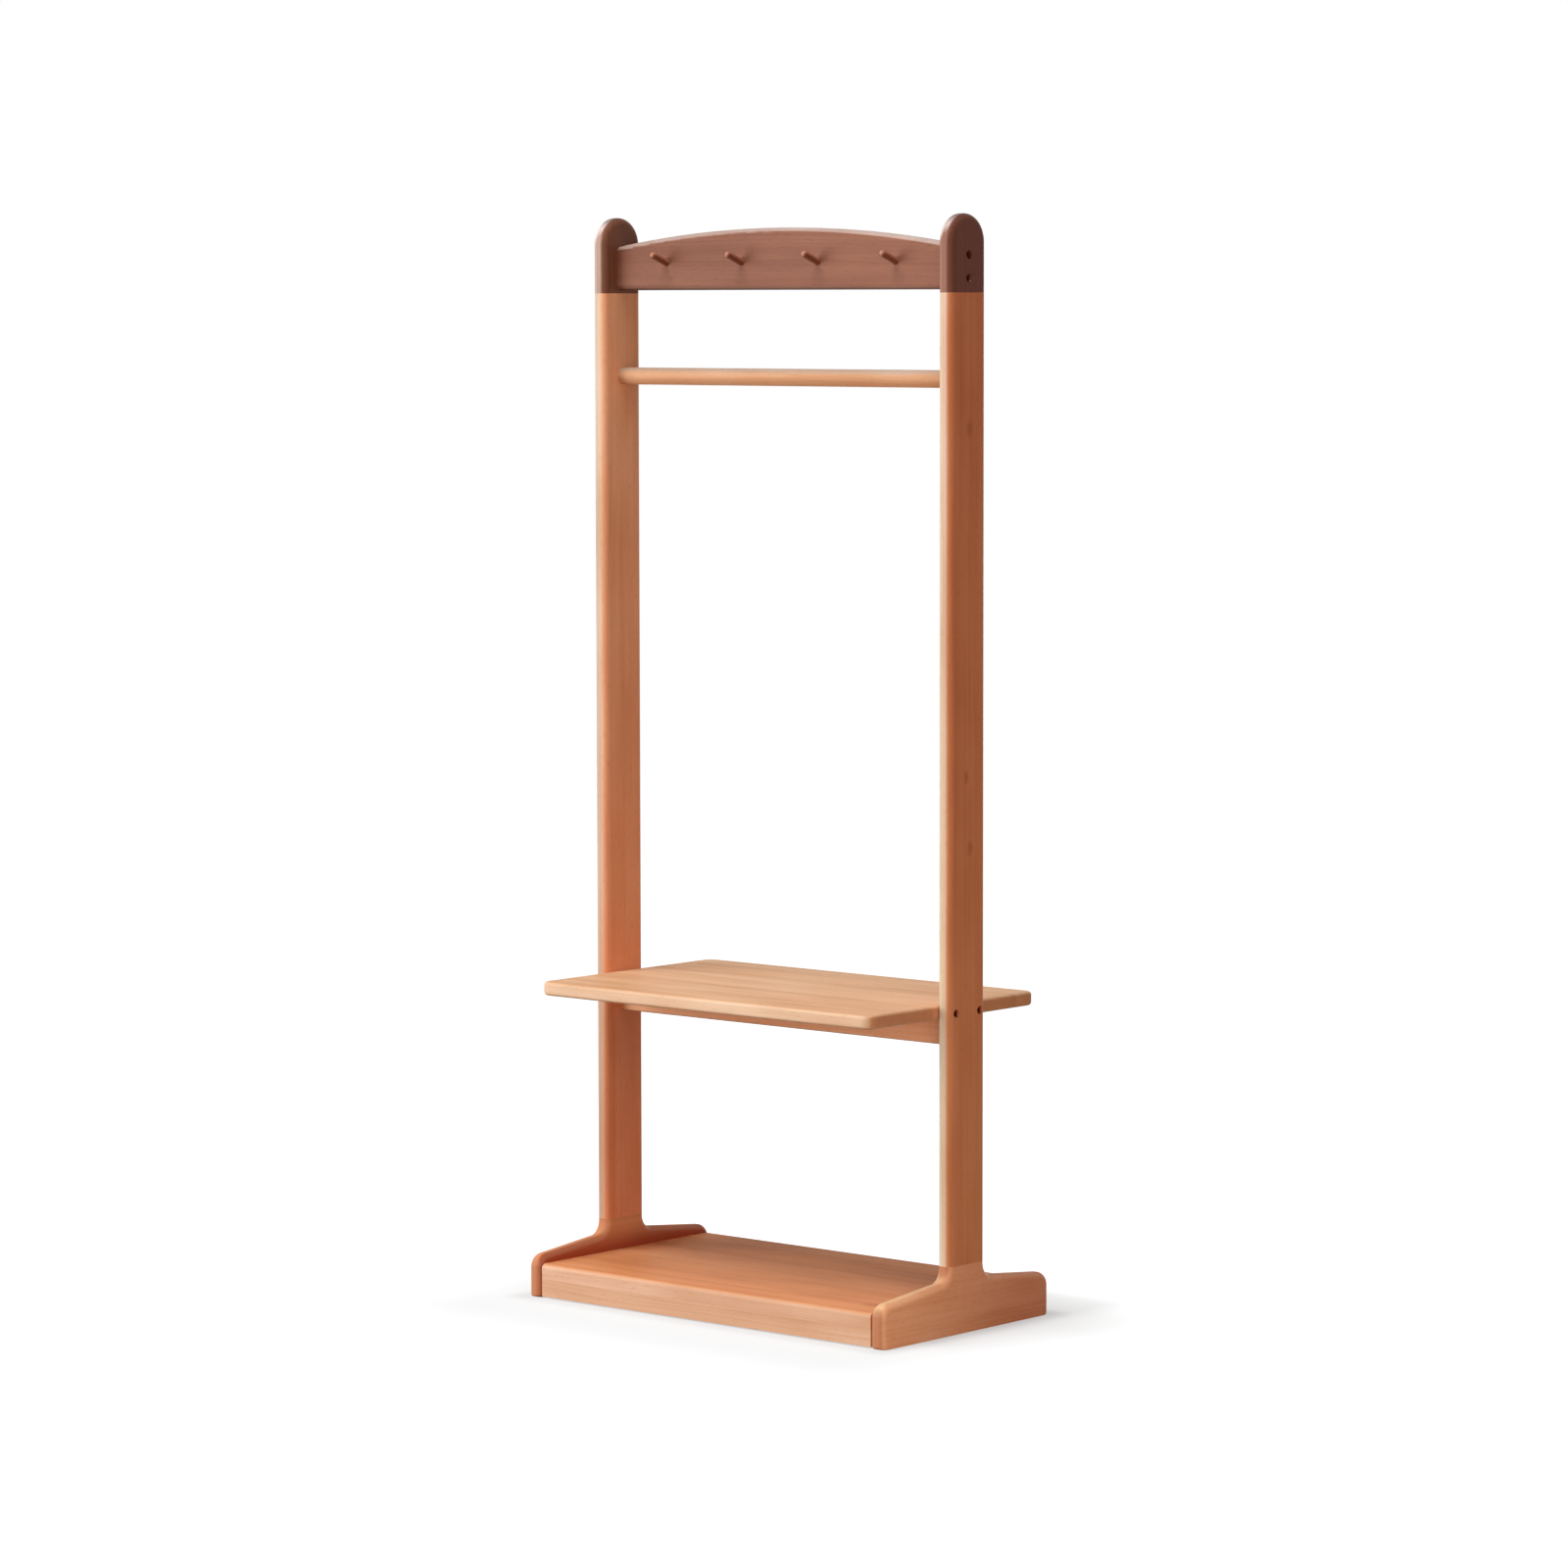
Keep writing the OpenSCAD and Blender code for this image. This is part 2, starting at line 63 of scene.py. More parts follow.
def linear(colour):
    """The linear RGBA of an sRGB hex colour."""
    channels = [int(colour[i : i + 2], 16) / 255 for i in (1, 3, 5)]
    return [c / 12.92 if c <= 0.04045 else ((c + 0.055) / 1.055) ** 2.4 for c in channels] + [1]


def add(tree, kind, inputs=None, **settings):
    """Adds a shader node. Each input is a value, the output socket that feeds it, or a
    node that feeds it from its first output in use."""
    made = tree.nodes.new("ShaderNode" + kind)
    for name, value in settings.items():
        setattr(made, name, value)
    for name, value in (inputs or {}).items():
        if isinstance(value, bpy.types.Node):
            value = next(socket for socket in value.outputs if socket.enabled)
        if isinstance(value, bpy.types.NodeSocket):
            tree.links.new(value, made.inputs[name])
        else:
            made.inputs[name].default_value = value
    return made


def empty_material(name):
    """A new material, its node tree and its surface socket."""
    material = bpy.data.materials.new(name)
    material.use_nodes = True
    tree = material.node_tree
    tree.nodes.clear()
    return material, tree, add(tree, "OutputMaterial").inputs["Surface"]


# Settings of a node that mixes two colours, its inputs 6 and 7, by the share in input 0,
# and of a node that goes smoothly from 0 to 1, or to its "To Max", between two values
COLOURS = {"data_type": "RGBA"}
SMOOTH = {"interpolation_type": "SMOOTHSTEP"}

# Patterns of the grain: their size across and along it in millimetres, how many finer
# layers they hold and how strong those are, and where in the noise they start. Fibres
# and pores are drawn coarser than in the wood, so that they show.
PATTERNS = {
    "wander": (70.0, 420.0, 1.0, 0.5, 11.0),
    "ripple": (12.0, 160.0, 1.0, 0.5, 23.0),
    "fibre": (1.6, 70.0, 2.0, 0.6, 31.0),
    "band": (9.0, 380.0, 1.0, 0.5, 43.0),
    "mottle": (38.0, 120.0, 1.0, 0.5, 59.0),
    "pore": (1.1, 9.0, 1.0, 0.5, 71.0),
}
STAVE_SPREAD = 97.0  # the stretch of noise from which the staves of a panel are cut


def laid_out(tree, node, along, across, staves, seed):
    """What a board's material knows of each point: how far it lies across the board,
    through it and along its grain, in millimetres from the middle; how it faces; and the
    patterns of the grain there. A panel is glued up from staves of one width: side is
    then measured in each stave, and each is its own cut of wood, with its own shade."""
    low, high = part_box(node)
    where = add(tree, "TexCoord").outputs
    place = add(tree, "VectorMath", {0: where["Object"], 1: (MM,) * 3}, operation="MULTIPLY")
    place = add(tree, "VectorMath", {0: place, 1: (low + high) * (MM / 2)},
                operation="SUBTRACT")
    axis = add(tree, "SeparateXYZ", {0: place}).outputs
    through = ({"X", "Y", "Z"} - {along, across}).pop()
    squarely = add(tree, "VectorMath", {0: where["Normal"]}, operation="ABSOLUTE")
    board = SimpleNamespace(tree=tree, along=along, through=through, place=place,
                            reach=(high - low) * (MM / 2), width=axis[across],
                            side=axis[across], depth=axis[through], length=axis[along],
                            normal=where["Normal"], cut=seed, figure={},
                            facing=add(tree, "SeparateXYZ", {0: squarely}).outputs)
    if staves:
        stave = add(tree, "Math", {0: board.width, 1: staves}, operation="DIVIDE")
        stave = add(tree, "Math", {0: stave, 1: 0.5}, operation="ADD")
        stave = add(tree, "Math", {0: stave}, operation="FLOOR")
        centre = add(tree, "Math", {0: stave, 1: staves}, operation="MULTIPLY")
        shade = add(tree, "TexWhiteNoise", {"W": stave}, noise_dimensions="1D")
        board.side = add(tree, "Math", {0: board.width, 1: centre}, operation="SUBTRACT")
        board.cut = add(tree, "Math", {0: shade, 1: STAVE_SPREAD, 2: seed},
                        operation="MULTIPLY_ADD")
        board.figure["stave"] = shade

    spot = add(tree, "CombineXYZ", {0: board.side, 1: board.depth, 2: board.length})
    for kind, (wide, long, detail, roughness, start) in PATTERNS.items():
        drawn_out = add(tree, "VectorMath", {0: spot, 1: (1 / wide, 1 / wide, 1 / long)},
                        operation="MULTIPLY")
        moved = add(tree, "Math", {0: board.cut, 1: start}, operation="ADD")
        board.figure[kind] = add(tree, "TexNoise", {"Vector": drawn_out, "W": moved,
                                                    "Scale": 1.0, "Detail": detail,
                                                    "Roughness": roughness},
                                 noise_dimensions="4D")
    return board


def weighed(board, *parts, patterns=None):
    """The sum of some parts, and of those patterns in a table that the board has. A part
    is a value, its share, and the middle value at which it adds nothing; the table gives
    the share and the middle value of each pattern."""
    tree, figure = board.tree, board.figure
    found = [(figure[kind], *share) for kind, share in (patterns or {}).items() if kind in figure]
    total = 0.0
    for value, share, middle in [*parts, *found]:
        off = add(tree, "Math", {0: value, 1: middle}, operation="SUBTRACT")
        total = add(tree, "Math", {0: off, 1: share, 2: total}, operation="MULTIPLY_ADD")
    return total


IN_RINGS = {"wander": (26.0, 0.5), "ripple": (4.0, 0.5)}  # millimetres
CUT_DEPTH = 3.0  # millimetres further from the heart for each step of a cut's own number
RING_POWER = 3.0  # how late in its year the wood turns dark


def late_wood(board, heart, ring):
    """The dark side of each growth ring. The rings stand round a heart line that runs
    along the board, at this place across and through it; they bend with the trunk, and no
    two years are equally dark."""
    tree = board.tree
    across = weighed(board, (board.side, 1.0, heart[0]), patterns=IN_RINGS)
    through = weighed(board, (board.depth, 1.0, heart[1]), (board.cut, CUT_DEPTH, 0.0))
    radius = add(tree, "CombineXYZ", {0: across, 1: through})
    radius = add(tree, "VectorMath", {0: radius}, operation="LENGTH")
    rings = add(tree, "Math", {0: radius, 1: 1 / ring}, operation="MULTIPLY")
    late = add(tree, "Math", {0: rings}, operation="FRACT")
    late = add(tree, "Math", {0: late, 1: RING_POWER}, operation="POWER")
    year = add(tree, "Math", {0: rings}, operation="FLOOR")
    strength = add(tree, "TexWhiteNoise", {"W": year}, noise_dimensions="1D")
    return add(tree, "Math", {0: late, 1: strength}, operation="MULTIPLY")


IN_TONE = {
    "fibre": (0.27, 0.5),
    "band": (0.56, 0.5),
    "mottle": (0.80, 0.5),
    "late_wood": (-0.22, 0.1),
    "stave": (0.22, 0.5),
}
DARK_AT, PLAIN_AT, PALE_AT = 0.15, 0.5, 0.85
PORES = {"From Min": 0.60, "From Max": 0.74, "To Max": 0.32}  # none, full, and how strong


def sawn_wood(board, own):
    """The bare wood: its patterns run from dark to pale, and its pores fleck it."""
    tree = board.tree
    tone = add(tree, "Math", {0: weighed(board, patterns=IN_TONE), 1: PLAIN_AT},
               operation="ADD")
    wood = add(tree, "ValToRGB", {0: tone})
    dark, pale = wood.color_ramp.elements
    dark.position, dark.color = DARK_AT, own["dark"]
    pale.position, pale.color = PALE_AT, own["pale"]
    wood.color_ramp.elements.new(PLAIN_AT).color = own["plain"]
    pores = add(tree, "MapRange", {"Value": board.figure["pore"], **PORES}, **SMOOTH)
    return add(tree, "Mix", {0: pores, 6: wood, 7: own["fleck"]}, **COLOURS)


IN_CORNER_SHADE = {"band": (5.0, 0.5), "mottle": (3.0, 0.5)}  # millimetres
SKIN = 6.0  # millimetres from the middle of a board to where the skin of painted shade is full
CORNER_SHADE_STRENGTH = 0.9  # how strong it is there


def with_painted_corner_shade(board, wood, hand, tone, solid, gone):
    """Wood with painted shade: a darker, redder skin on the face to one hand. Across the
    board, the skin is full at one place and gone at the other."""
    tree = board.tree
    skin = weighed(board, (board.depth, hand, 0.0), patterns=IN_CORNER_SHADE)
    skin = add(tree, "MapRange", {"Value": skin, "From Max": SKIN}, **SMOOTH)
    spread = add(tree, "MapRange", {"Value": board.side, "From Min": gone, "From Max": solid,
                                    "To Max": CORNER_SHADE_STRENGTH}, **SMOOTH)
    skin = add(tree, "Math", {0: skin, 1: spread}, operation="MULTIPLY")
    return add(tree, "Mix", {0: skin, 6: wood, 7: linear(tone)}, **COLOURS)


IN_KNOT = {"fibre": (3.0, 0.5)}  # millimetres
KNOT_STEP = 0.55  # how much a step along the grain counts, against one across it
KNOT_HEART = 0.3  # the share of a knot's size that is solid
KNOT_DARK = 0.75  # how strong its dark tone is


def with_knot(board, wood, dark, across, along, size):
    """Wood with a pin knot at a place from the board's middle: a dark core of this size,
    longer along the grain, with the fibres closing round it."""
    tree = board.tree
    gap = add(tree, "CombineXYZ", {0: weighed(board, (board.width, 1.0, across)),
                                   1: weighed(board, (board.length, KNOT_STEP, along))})
    gap = add(tree, "VectorMath", {0: gap}, operation="LENGTH")
    gap = weighed(board, (gap, 1.0, 0.0), patterns=IN_KNOT)
    clear = add(tree, "MapRange", {"Value": gap, "From Min": size * KNOT_HEART,
                                   "From Max": size}, **SMOOTH)
    core = add(tree, "Math", {0: 1.0, 1: clear}, operation="SUBTRACT")
    core = add(tree, "Math", {0: core, 1: KNOT_DARK}, operation="MULTIPLY")
    return add(tree, "Mix", {0: core, 6: wood, 7: dark}, **COLOURS)


HIGHLIGHT_STRENGTH = 0.9  # how strong the painted highlight is on a surface that faces its direction
OFF_FLAT = {"From Min": 0.99, "From Max": 0.88}  # a flat face, a third of the way off it
RIM_BLUR = 1.0  # millimetres to either side of the rim's limit


def with_painted_highlight(board, colour, wood, plain, rim, tone, towards, slight, full):
    """A colour with a painted highlight over it: wood turned to a paler tone on what faces a
    direction, as if lit from there. slight is how squarely it must face to take the
    highlight at all, and full in full. The flat faces of a board keep their colour, and so
    do the bores of an upright one, which lie more than rim from its outline. A rod has no
    rim and no flat face."""
    tree = board.tree
    light = add(tree, "VectorMath", {0: board.normal, 1: towards}, operation="DOT_PRODUCT")
    light = add(tree, "MapRange", {"Value": light, "From Min": slight, "From Max": full,
                                   "To Max": HIGHLIGHT_STRENGTH}, **SMOOTH)
    if rim:
        off_flat = add(tree, "MapRange", {"Value": board.facing[board.through],
                                          **OFF_FLAT}, **SMOOTH)
        light = add(tree, "Math", {0: light, 1: off_flat}, operation="MULTIPLY")
    if rim and board.through == "X":
        inset = add(tree, "VectorMath", {0: board.place}, operation="ABSOLUTE")
        inset = add(tree, "VectorMath", {0: inset, 1: board.reach}, operation="SUBTRACT")
        inset = add(tree, "SeparateXYZ", {0: inset}).outputs
        inset = add(tree, "Math", {0: inset["Y"], 1: inset["Z"]}, operation="MAXIMUM")
        in_rim = add(tree, "MapRange", {"Value": inset, "From Min": -rim - RIM_BLUR,
                                        "From Max": -rim + RIM_BLUR}, **SMOOTH)
        light = add(tree, "Math", {0: light, 1: in_rim}, operation="MULTIPLY")
    paler = [pale / own for pale, own in zip(linear(tone), plain)]
    paler = add(tree, "Mix", {0: 1.0, 6: wood, 7: paler}, blend_type="MULTIPLY", **COLOURS)
    return add(tree, "Mix", {0: light, 6: colour, 7: paler}, **COLOURS)


IN_ARRIS_PALENESS = {"mottle": (0.8, -0.75)}
ARRIS = {"From Min": 0.40, "From Max": 0.75}  # a quarter of the way in from the edge, half-way


def worn_and_highlit_arrises(board, colour, edge, worn_and_highlit):
    """A colour with the rounded arrises of a board turned to the colour of its edge, partly
    as wear and partly as a painted highlight, more in one place than in another."""
    tree = board.tree
    out = board.facing[board.through]
    arris = add(tree, "MapRange", {"Value": out, "To Max": worn_and_highlit, **ARRIS}, **SMOOTH)
    off_flat = add(tree, "MapRange", {"Value": out, **OFF_FLAT}, **SMOOTH)
    arris = add(tree, "Math", {0: arris, 1: off_flat}, operation="MULTIPLY")
    uneven = weighed(board, patterns=IN_ARRIS_PALENESS)
    arris = add(tree, "Math", {0: arris, 1: uneven}, operation="MULTIPLY")
    return add(tree, "Mix", {0: arris, 6: colour, 7: linear(edge)}, **COLOURS)


def painted_light_along(board, colour, low_end_painted_light):
    """A colour with painted light and shade that grows towards the low end of the board."""
    tree = board.tree
    half = board.reach["XYZ".index(board.along)]
    lower = add(tree, "MapRange", {"Value": board.length, "From Min": half,
                                   "From Max": -half}, **SMOOTH)
    shade = add(tree, "Mix", {0: lower, 6: (1, 1, 1, 1), 7: (*low_end_painted_light, 1)}, **COLOURS)
    return add(tree, "Mix", {0: 1.0, 6: colour, 7: shade}, blend_type="MULTIPLY", **COLOURS)


END_GRAIN = {"From Min": 0.60, "From Max": 0.95, "To Max": 0.75}  # by how it faces
FACING_DOWN = {"From Min": -0.35, "From Max": -0.90}
UNDERSIDE_SHADE = 0.3  # the share of the wood's tone that the deepest painted shade on a lower edge leaves
IN_ROUGHNESS = {"fibre": (0.16, 0.5), "mottle": (0.12, 0.5), "pore": (0.10, 0.5)}
IN_RELIEF = {"fibre": (1.0, 0.5), "pore": (-0.8, 0.5), "late_wood": (0.4, 0.1)}
RELIEF = {"Strength": 0.20, "Distance": 0.0004}  # the distance in metres
WOOD_IOR = 1.5  # bare, or under its lacquer


def timber_material(name, tones, node, along, across, heart, ring=4.5, staves=None, painted_highlights=(),
                    rim=5.0, knots=(), tint=(1, 1, 1), low_end_painted_light=(1, 1, 1), painted_corner_shade=None,
                    worn_and_highlit=0.25, under=0.0, roughness=0.50, shine=0.12, seed=0.0):
    """Sawn and sanded timber, satin-lacquered or bare, with its sizes in millimetres.
    along and across are the axes of its grain and of its width. tint is its own shade of
    the wood, and in the side frames also painted light and shade. The value for its low
    end is painted light and shade that grows towards that end. The arris value says how
    pale its arrises are, partly by wear and partly as painted highlight; under says how
    dark its lower edge is, as painted shade; and shine how much its surface mirrors. Its
    highlights are painted highlights and its corner skin is painted shade; the other
    values are those of the functions above that make the wood."""
    material, tree, surface = empty_material(name)
    board = laid_out(tree, node, along, across, staves, seed)
    board.figure["late_wood"] = late_wood(board, heart, ring)
    own = {kind: [c * t for c, t in zip(linear(tone), tint)] + [1]
           for kind, tone in tones.items()}

    wood = sawn_wood(board, own)
    if painted_corner_shade:
        wood = with_painted_corner_shade(board, wood, *painted_corner_shade)
    for knot in knots:
        wood = with_knot(board, wood, own["end"], *knot)
    colour = wood
    for highlight_entry in painted_highlights:
        colour = with_painted_highlight(board, colour, wood, own["plain"], rim, *highlight_entry)

    # End grain drinks more finish and turns darker, and the pale end of a peg is a painted
    # highlight; a lower edge that faces down takes painted shade
    end = add(tree, "MapRange", {"Value": board.facing[along], **END_GRAIN}, **SMOOTH)
    colour = add(tree, "Mix", {0: end, 6: colour, 7: own["end"]}, **COLOURS)
    if under:
        dark = [c * UNDERSIDE_SHADE for c in own["plain"][:3]] + [1]
        turned = add(tree, "SeparateXYZ", {0: board.normal}).outputs
        below = add(tree, "MapRange", {"Value": turned["Z"], "To Max": under, **FACING_DOWN},
                    **SMOOTH)
        colour = add(tree, "Mix", {0: below, 6: colour, 7: dark}, **COLOURS)
    if worn_and_highlit:
        colour = worn_and_highlit_arrises(board, colour, tones["edge"], worn_and_highlit)
    if low_end_painted_light != (1, 1, 1):
        colour = painted_light_along(board, colour, low_end_painted_light)

    gloss = add(tree, "Math", {0: weighed(board, patterns=IN_ROUGHNESS), 1: roughness},
                operation="ADD")
    bump = add(tree, "Bump", {"Height": weighed(board, patterns=IN_RELIEF), **RELIEF})
    shader = add(tree, "BsdfPrincipled", {"Base Color": colour, "Roughness": gloss,
                                          "IOR": WOOD_IOR, "Specular IOR Level": shine,
                                          "Normal": bump})
    tree.links.new(shader.outputs[0], surface)
    return material


def dress(node, material):
    """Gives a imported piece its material."""
    slots = pieces[node].material_slots
    slots[0].link = "OBJECT"
    slots[0].material = material


WELD = 1e-6  # metres
CREASE = math.radians(35)


def rounding_nodes():
    """Geometry nodes that shade a mesh smooth, and leave its sharp edges as creases."""
    group = bpy.data.node_groups.new("SmoothRounds", "GeometryNodeTree")
    for direction in ("INPUT", "OUTPUT"):
        group.interface.new_socket("Geometry", in_out=direction,
                                   socket_type="NodeSocketGeometry")
    chain = [group.nodes.new(kind) for kind in (
        "NodeGroupInput", "GeometryNodeRemoveAttribute", "GeometryNodeMergeByDistance",
        "GeometryNodeSetShadeSmooth", "GeometryNodeSetShadeSmooth", "NodeGroupOutput")]
    for before, after in zip(chain, chain[1:]):
        group.links.new(before.outputs[0], after.inputs[0])
    _, bare, welded, _, creased, _ = chain
    bare.inputs["Name"].default_value = "custom_normal"
    welded.inputs["Distance"].default_value = WELD
    creased.domain = "EDGE"
    creased.inputs["Shade Smooth"].default_value = False
    angle = group.nodes.new("GeometryNodeInputMeshEdgeAngle")
    sharp = group.nodes.new("FunctionNodeCompare")
    sharp.inputs["B"].default_value = CREASE
    group.links.new(angle.outputs["Unsigned Angle"], sharp.inputs["A"])
    group.links.new(sharp.outputs[0], creased.inputs["Selection"])
    return group


def smooth_rounds(node):
    """Shades the small flats of a swept roundover as one round, and leaves creases."""
    group = bpy.data.node_groups.get("SmoothRounds") or rounding_nodes()
    pieces[node].modifiers.new("SmoothRounds", "NODES").node_group = group
    weighted = pieces[node].modifiers.new("FlatFaces", "WEIGHTED_NORMAL")
    weighted.keep_sharp = True
    weighted.weight = 100  # the large flat faces keep their own normals


RIGHT_HAND = 1.0
SHOULDER = (-0.45, -0.52, 0.73)  # the way the painted highlight on the right foot's sloping shoulder faces
# The left foot's corner skin is painted shade; the right foot's paler front end and pale shoulder
# are painted light.
FOOT_LOOKS = {
    "left_foot": {
        "tones": {**CHERRY, "end": "#CF946D"},
        "tint": (0.99, 0.84, 0.79),
        "painted_corner_shade": (RIGHT_HAND, "#A53E1E", 2.0, 34.0),
        "seed": 1.3,
    },
    "right_foot": {
        "tones": {**CHERRY, "end": "#A96F4F"},
        "tint": (1.07, 0.86, 0.93),
        "low_end_painted_light": (1.22, 1.42, 1.36),
        "painted_highlights": [("#DEAC84", SHOULDER, 0.40, 0.95)],
        "seed": 6.4,
    },
}

for node, look in FOOT_LOOKS.items():
    # under darkens their lower edges as painted shade
    dress(node, timber_material(node + "_lacquered_cherry", node=node, along="Y", across="Z",
                                heart=(-95.0, 60.0), rim=40.0, worn_and_highlit=0.1, under=0.4, **look))
    smooth_rounds(node)


# POSTS
# Straight cherry boards on edge, 20 mm thick, dowelled and glued on top of the feet.
# The grain runs up them; their front edges take a painted highlight on the side of the key
# light, and a few pin knots show on the right-hand one.

# The pale front-left edges of posts and caps are a painted highlight toward the key light. The
# left post's lighter tint and the right post's darker one are painted light and shade as well as
# tone, and so is the change towards their lower ends.
KEY_LIGHT_SIDE = (-0.77, -0.64, 0.0)
# A knot is its place across and along the post from its middle, and its size
POST_LOOKS = {
    "left_post": {
        "tint": (1.23, 1.16, 1.25),
        "low_end_painted_light": (0.90, 0.72, 0.66),
        "painted_highlights": [("#D4CAB7", KEY_LIGHT_SIDE, 0.10, 0.90)],
        "seed": 3.7,
    },
    "right_post": {
        "tint": (0.92, 0.61, 0.53),
        "low_end_painted_light": (1.01, 1.12, 1.08),
        "painted_highlights": [("#E5D3BA", KEY_LIGHT_SIDE, 0.10, 0.90)],
        "knots": [(1.0, 395.0, 7.0), (-4.0, 5.0, 6.0), (3.0, -75.0, 6.5)],
        "seed": 13.9,
    },
}

for node, look in POST_LOOKS.items():
    dress(node, timber_material(node + "_lacquered_cherry", CHERRY, node, along="Z",
                                across="Y", heart=(-85.0, 70.0), worn_and_highlit=0.0, **look))


# END CAPS
# Round-headed blocks of walnut on top of the posts, dowelled and glued, with the same
# roundover as the posts. Walnut is a dark, cool brown with close, straight grain.

CAP_WALNUT = {
    "dark": "#66443A",
    "plain": "#755045",
    "pale": "#835D51",
    "end": "#4F3229",
    "fleck": "#503228",
}
CREST = (-0.50, -0.45, 0.74)  # the way the painted highlight on a cap's round head faces
CREST_HIGHLIGHT = ("#E2D0CA", CREST, 0.62, 0.86)
# Each cap takes painted highlights on its front edge and its crown; the left cap's lighter tint
# and the right one's darker tint are painted light and shade as well as tone.
CAP_LOOKS = {
    "left_end_cap": {
        "tint": (1.13, 0.95, 0.72),
        "painted_highlights": [("#C6AA9E", KEY_LIGHT_SIDE, 0.10, 0.90), CREST_HIGHLIGHT],
        "seed": 2.9,
    },
    "right_end_cap": {
        "tint": (0.93, 0.70, 0.61),
        "painted_highlights": [("#A87A67", KEY_LIGHT_SIDE, 0.10, 0.90), CREST_HIGHLIGHT],
        "seed": 6.2,
    },
}

for node, look in CAP_LOOKS.items():
    dress(node, timber_material(node + "_lacquered_walnut", CAP_WALNUT, node, along="Z",
                                across="Y", heart=(-70.0, 60.0), ring=3.5, rim=18.0,
                                worn_and_highlit=0.0, **look))


# TOP RAIL
# A walnut board with an arched top edge, bolted between the caps from outside. Its long
# edges are rounded like the caps', and the grain runs from cap to cap.

WALNUT = {
    "dark": "#7A4E3F",
    "plain": "#8A5C4B",
    "pale": "#996C5A",
    # the edge tone is what worn arrises, with their painted highlight, turn to
    "edge": "#C3A393",
    "end": "#553329",
    "fleck": "#5E3B2F",
}

# The pale top arris is a painted highlight, the darker lower edge painted shade, and the darker
# left end a painted shadow of the left cap.
dress("top_rail", timber_material("top_rail_lacquered_walnut", WALNUT, "top_rail",
                                  along="X", across="Z", heart=(-75.0, 70.0), ring=3.5,
                                  tint=(1.20, 1.17, 1.08), low_end_painted_light=(0.76, 0.72, 0.72),
                                  painted_highlights=[("#C4ACA2", (0.0, -0.20, 0.98), 0.0, 0.60)],
                                  under=0.9, seed=8.3))


# PEGS
# Walnut dowel rod with a domed end, glued into holes that are drilled at a tilt, so that
# a loop slides towards the rail. The grain runs along each peg, nearly along Y; its top
# and its domed end are paler as a painted highlight.

# the pale end tone is a painted highlight on the domed tip
PEG_WALNUT = {**WALNUT, "end": "#D6AC9B"}

for number in range(1, 5):
    node = f"peg_{number}"
    dress(node, timber_material(node + "_lacquered_walnut", PEG_WALNUT, node, along="Y",
                                across="Z", heart=(-18.0, 9.0), ring=2.0, rim=0.0, worn_and_highlit=0.0,
                                painted_highlights=[("#B07560", (0.0, 0.25, 0.97), -0.30, 0.25)],
                                tint=(0.86, 0.66, 0.55), seed=4.0 + 1.7 * number))


# HANGING BAR
# A turned cherry rod, sanded smooth and lacquered, held in blind sockets in the posts.
# Its top is paler and greyer, as a painted sheen.

dress("hanging_bar", timber_material("hanging_bar_lacquered_cherry", CHERRY, "hanging_bar",
                                     along="X", across="Y", heart=(-30.0, 22.0), ring=3.5,
                                     rim=0.0, painted_highlights=[("#B8A08E", (0.0, 0.0, 1.0), 0.10, 0.90)],
                                     worn_and_highlit=0.0, tint=(0.92, 0.96, 1.02), seed=6.1))


# SHELF
# A panel glued up from cherry staves, with round corners and a roundover all round,
# bolted between the posts through their outer faces.

FORWARD = (0.0, -1.0, 0.0)

# Its paler front edge is a painted highlight, and its darker lower edges painted shade.
dress("shelf", timber_material("shelf_lacquered_cherry", {**CHERRY, "end": "#BB7049"},
                               "shelf", along="X", across="Y", heart=(-60.0, 75.0), staves=75.0,
                               painted_highlights=[("#F6D6B8", FORWARD, 0.50, 0.95)],
                               under=0.6, tint=(1.20, 1.41, 1.60), shine=0.04, seed=9.4))


# SHELF RAIL
# A cherry batten on edge under the middle of the shelf, dowelled into the posts and
# screwed up into the shelf to keep it from bending.

# Its darker lower edge is painted shade.
dress("shelf_rail", timber_material("shelf_rail_lacquered_cherry", CHERRY, "shelf_rail",
                                    along="X", across="Z", heart=(-50.0, 60.0),
                                    tint=(1.25, 1.30, 1.46), under=0.9, seed=12.6))


# BASE BOARD
# A panel glued up from cherry staves between the feet, its front and rear edges rounded.
# It lies on two battens and on the aprons.

# Its paler front edge is a painted highlight.
dress("base_board", timber_material("base_board_lacquered_cherry", CHERRY, "base_board",
                                    along="X", across="Y", heart=(-55.0, 80.0), staves=74.0,
                                    painted_highlights=[("#F2C8AA", FORWARD, 0.50, 0.95)],
                                    knots=[(-106.0, 220.0, 12.0)], tint=(1.18, 0.99, 0.86),
                                    shine=0.03, seed=15.2))


# APRONS
# Cherry strips that close the front and rear of the base, just clear of the floor, and
# dowelled into the feet.

for node, seed in (("front_apron", 17.5), ("rear_apron", 21.9)):
    dress(node, timber_material(node + "_lacquered_cherry", CHERRY, node, along="X",
                                across="Z", heart=(-60.0, 70.0), tint=(1.12, 1.36, 1.74),
                                seed=seed))


# BATTENS AND DOWELS
# Birch, sanded and left bare, so that it looks pale and dull: battens screwed up into
# the base board, and dowels glued into the joints. None of it shows on a standing rack.

